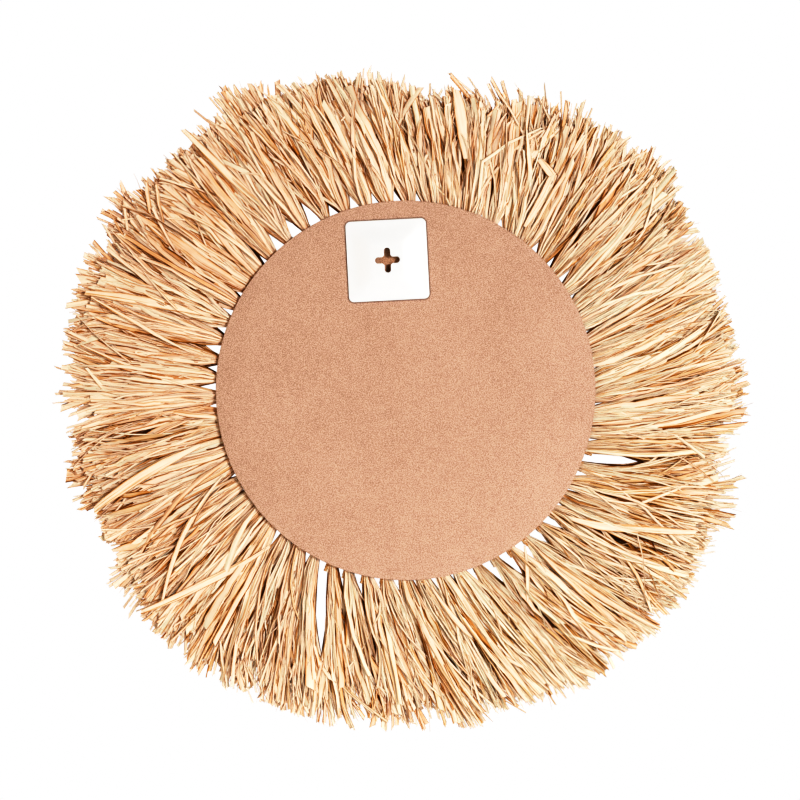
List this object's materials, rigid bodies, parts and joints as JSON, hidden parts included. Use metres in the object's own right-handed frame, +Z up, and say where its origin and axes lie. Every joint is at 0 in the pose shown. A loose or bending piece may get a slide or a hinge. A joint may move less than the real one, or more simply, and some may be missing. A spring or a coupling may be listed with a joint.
{
  "type": "wall mirror",
  "caption": "Round wall mirror on a fibreboard disc, ringed by a sunburst fringe of raffia tassels looped on a wire, hung on a screw by a slotted plate on its back.",
  "frame": {"origin": "on the hanger plate's wall-side face, 14.2 mm straight above the centre of its slot", "axes": "+Z up as hung, +Y out of the back towards the wall, the glass faces -Y"},
  "size_m": [0.5862, 0.0268, 0.5729],
  "materials": {
    "plate": "white satin paint on pressed sheet",
    "board": "raw fibreboard, fine speckled tan",
    "glass": "silvered flat glass",
    "wire": "dark coated wire",
    "raffia": "dry natural raffia strips, cream to tan"
  },
  "bodies": {
    "root": {"hanger_plate": "plate", "backing_board": "board", "mirror_glass": "glass", "wire_ring": "wire", "tassels_01_02": "raffia", "tassel_03": "raffia", "tassel_04": "raffia", "tassel_05": "raffia", "tassel_06": "raffia", "tassel_07": "raffia", "tassel_08": "raffia", "tassel_09": "raffia", "tassel_10": "raffia", "tassel_11": "raffia", "tassel_12": "raffia", "tassel_13": "raffia", "tassel_14": "raffia", "tassel_15": "raffia", "tassel_16": "raffia", "tassel_17": "raffia", "tassel_18": "raffia", "tassel_19": "raffia", "tassel_20": "raffia", "tassel_21": "raffia", "tassel_22": "raffia", "tassel_23": "raffia", "tassel_24": "raffia", "tassel_25": "raffia", "tassel_26": "raffia", "tassel_27": "raffia", "tassel_28": "raffia", "tassel_29": "raffia", "tassel_30": "raffia", "tassels_31_32": "raffia", "tassel_33": "raffia", "tassels_34_35": "raffia", "tassel_36": "raffia", "tassel_37": "raffia", "tassel_38": "raffia", "tassel_39": "raffia", "tassel_40": "raffia", "tassel_41": "raffia", "tassels_42_43": "raffia", "tassel_44": "raffia", "tassel_45": "raffia", "tassel_46": "raffia", "tassel_47": "raffia", "tassels_48_49": "raffia", "tassel_50": "raffia", "tassel_51": "raffia", "tassel_52": "raffia", "tassel_53": "raffia", "tassel_54": "raffia", "tassel_55": "raffia", "tassel_56": "raffia", "tassel_57": "raffia", "tassel_58": "raffia", "tassels_59_60": "raffia", "tassel_61": "raffia", "tassel_62": "raffia"}
  },
  "joints": []
}
